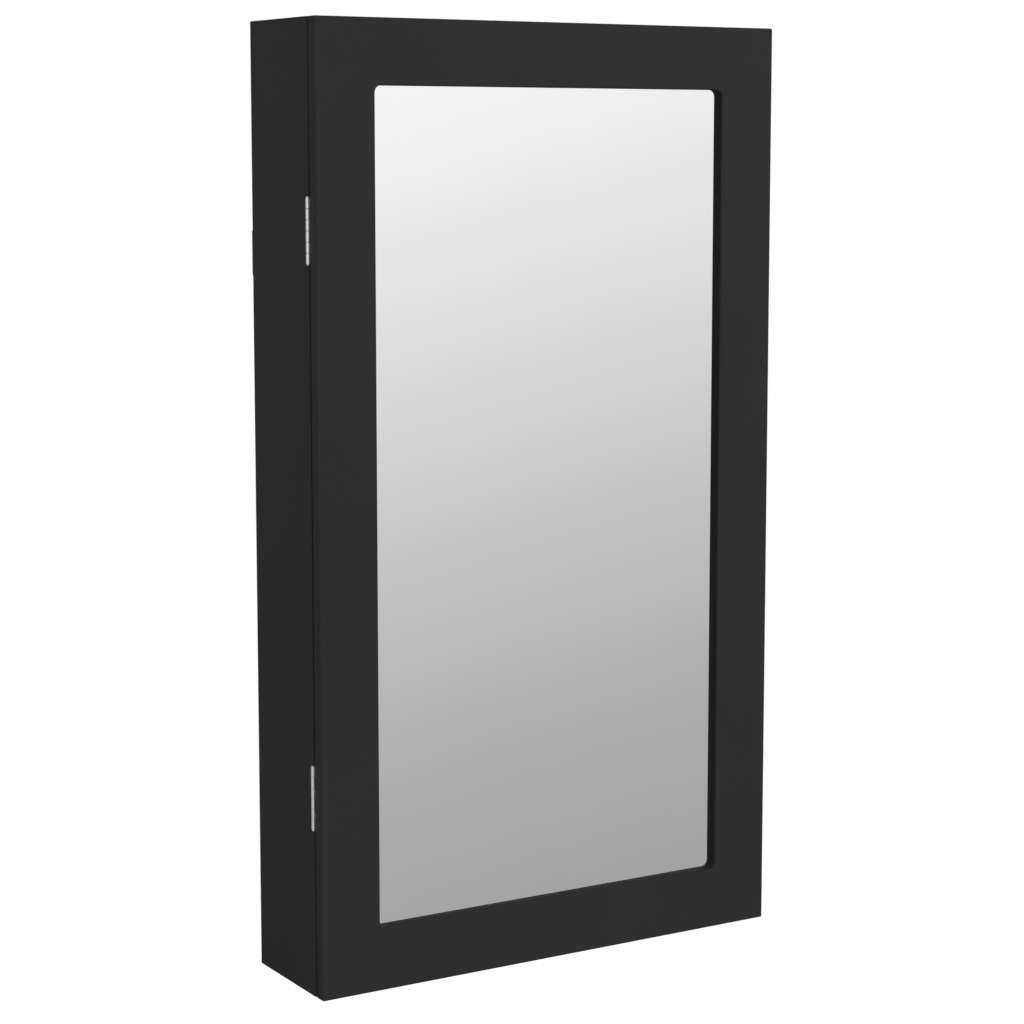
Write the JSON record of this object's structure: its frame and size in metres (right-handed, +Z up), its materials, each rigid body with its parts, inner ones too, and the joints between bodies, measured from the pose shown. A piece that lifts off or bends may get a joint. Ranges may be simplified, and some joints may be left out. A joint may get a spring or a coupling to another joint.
{
  "type": "jewelry mirror cabinet",
  "caption": "Shallow wall-hung black jewelry cabinet whose hinged door carries a framed mirror; inside are hooks, a bangle rod, shelves, an earring panel and a ring cushion.",
  "frame": {"origin": "on the wall plane, midway between the entry holes of the two keyhole hanger plates", "axes": "+X to the right seen from the front, +Y from the front towards the wall, +Z up"},
  "size_m": [0.3773, 0.1, 0.67],
  "materials": {
    "case_lacquer": "satin black lacquer on fibreboard",
    "door_lacquer": "satin black lacquer on fibreboard",
    "bead_lacquer": "satin black lacquer on fibreboard",
    "black_plastic": "moulded, fine grain",
    "hardboard": "black-faced hardboard",
    "velvet": "short-pile black velvet",
    "mirror_glass": "silvered flat glass",
    "clear_acrylic": "clear, polished edges",
    "beech": "plain",
    "hinge_steel": "bright nickel plated",
    "screw_steel": "zinc plated",
    "hanger_steel": "zinc plated",
    "felt": "felt",
    "bumper_rubber": "plain",
    "magnet_nickel": "nickel plated",
    "satin_nickel": "satin nickel plated",
    "panel_metal": "black powder coat"
  },
  "bodies": {
    "case": {"back_board": "hardboard", "back_lining": "velvet", "bottom_panel": "case_lacquer", "catch_magnets": "magnet_nickel", "corner_dowels": "beech", "cradle_screws": "screw_steel", "divider": "case_lacquer", "divider_screws": "screw_steel", "door_bumpers": "bumper_rubber", "earring_panel": "panel_metal", "earring_screws": "screw_steel", "earring_standoffs": "satin_nickel", "guard_bottom": "clear_acrylic", "guard_lower": "clear_acrylic", "guard_upper": "clear_acrylic", "hanger_plate_left": "hanger_steel", "hanger_plate_right": "hanger_steel", "hanger_screws": "screw_steel", "hinge_case_screws": "screw_steel", "hinge_lower_case_leaf": "hinge_steel", "hinge_lower_pin": "hinge_steel", "hinge_upper_case_leaf": "hinge_steel", "hinge_upper_pin": "hinge_steel", "hook_rail": "case_lacquer", "hook_rail_screws": "screw_steel", "necklace_hook_1": "satin_nickel", "necklace_hook_2": "satin_nickel", "necklace_hook_3": "satin_nickel", "necklace_hook_4": "satin_nickel", "necklace_hook_5": "satin_nickel", "necklace_hook_6": "satin_nickel", "necklace_hook_7": "satin_nickel", "ring_cushion": "velvet", "ring_tray": "case_lacquer", "ring_tray_screws": "screw_steel", "rod_cradle_left": "black_plastic", "rod_cradle_right": "black_plastic", "shelf_lower": "case_lacquer", "shelf_pins": "screw_steel", "shelf_upper": "case_lacquer", "side_panel_left": "case_lacquer", "side_panel_right": "case_lacquer", "top_panel": "case_lacquer", "wall_pads": "felt"},
    "door": {"bead_screws": "screw_steel", "door_frame": "door_lacquer", "door_lining": "velvet", "hinge_door_screws": "screw_steel", "hinge_lower_door_leaf": "hinge_steel", "hinge_upper_door_leaf": "hinge_steel", "mirror_backing_board": "hardboard", "mirror_bead_bottom": "bead_lacquer", "mirror_bead_left": "bead_lacquer", "mirror_bead_right": "bead_lacquer", "mirror_bead_top": "bead_lacquer", "mirror_glass": "mirror_glass", "strike_plates": "hanger_steel", "strike_screws": "screw_steel"},
    "bangle_bar": {"bangle_rod": "velvet", "bangle_rod_caps": "black_plastic"}
  },
  "joints": [
    {"name": "door_hinge", "type": "hinge", "parent": "case", "child": "door", "pos_m": [-0.1885, -0.0895, 0], "axis": [0, 0, -1], "range_deg": [0, 180]},
    {"name": "bangle_rod_lift", "type": "slide", "parent": "case", "child": "bangle_bar", "axis": [0, 0, 1], "range_m": [0, 0.02]}
  ]
}
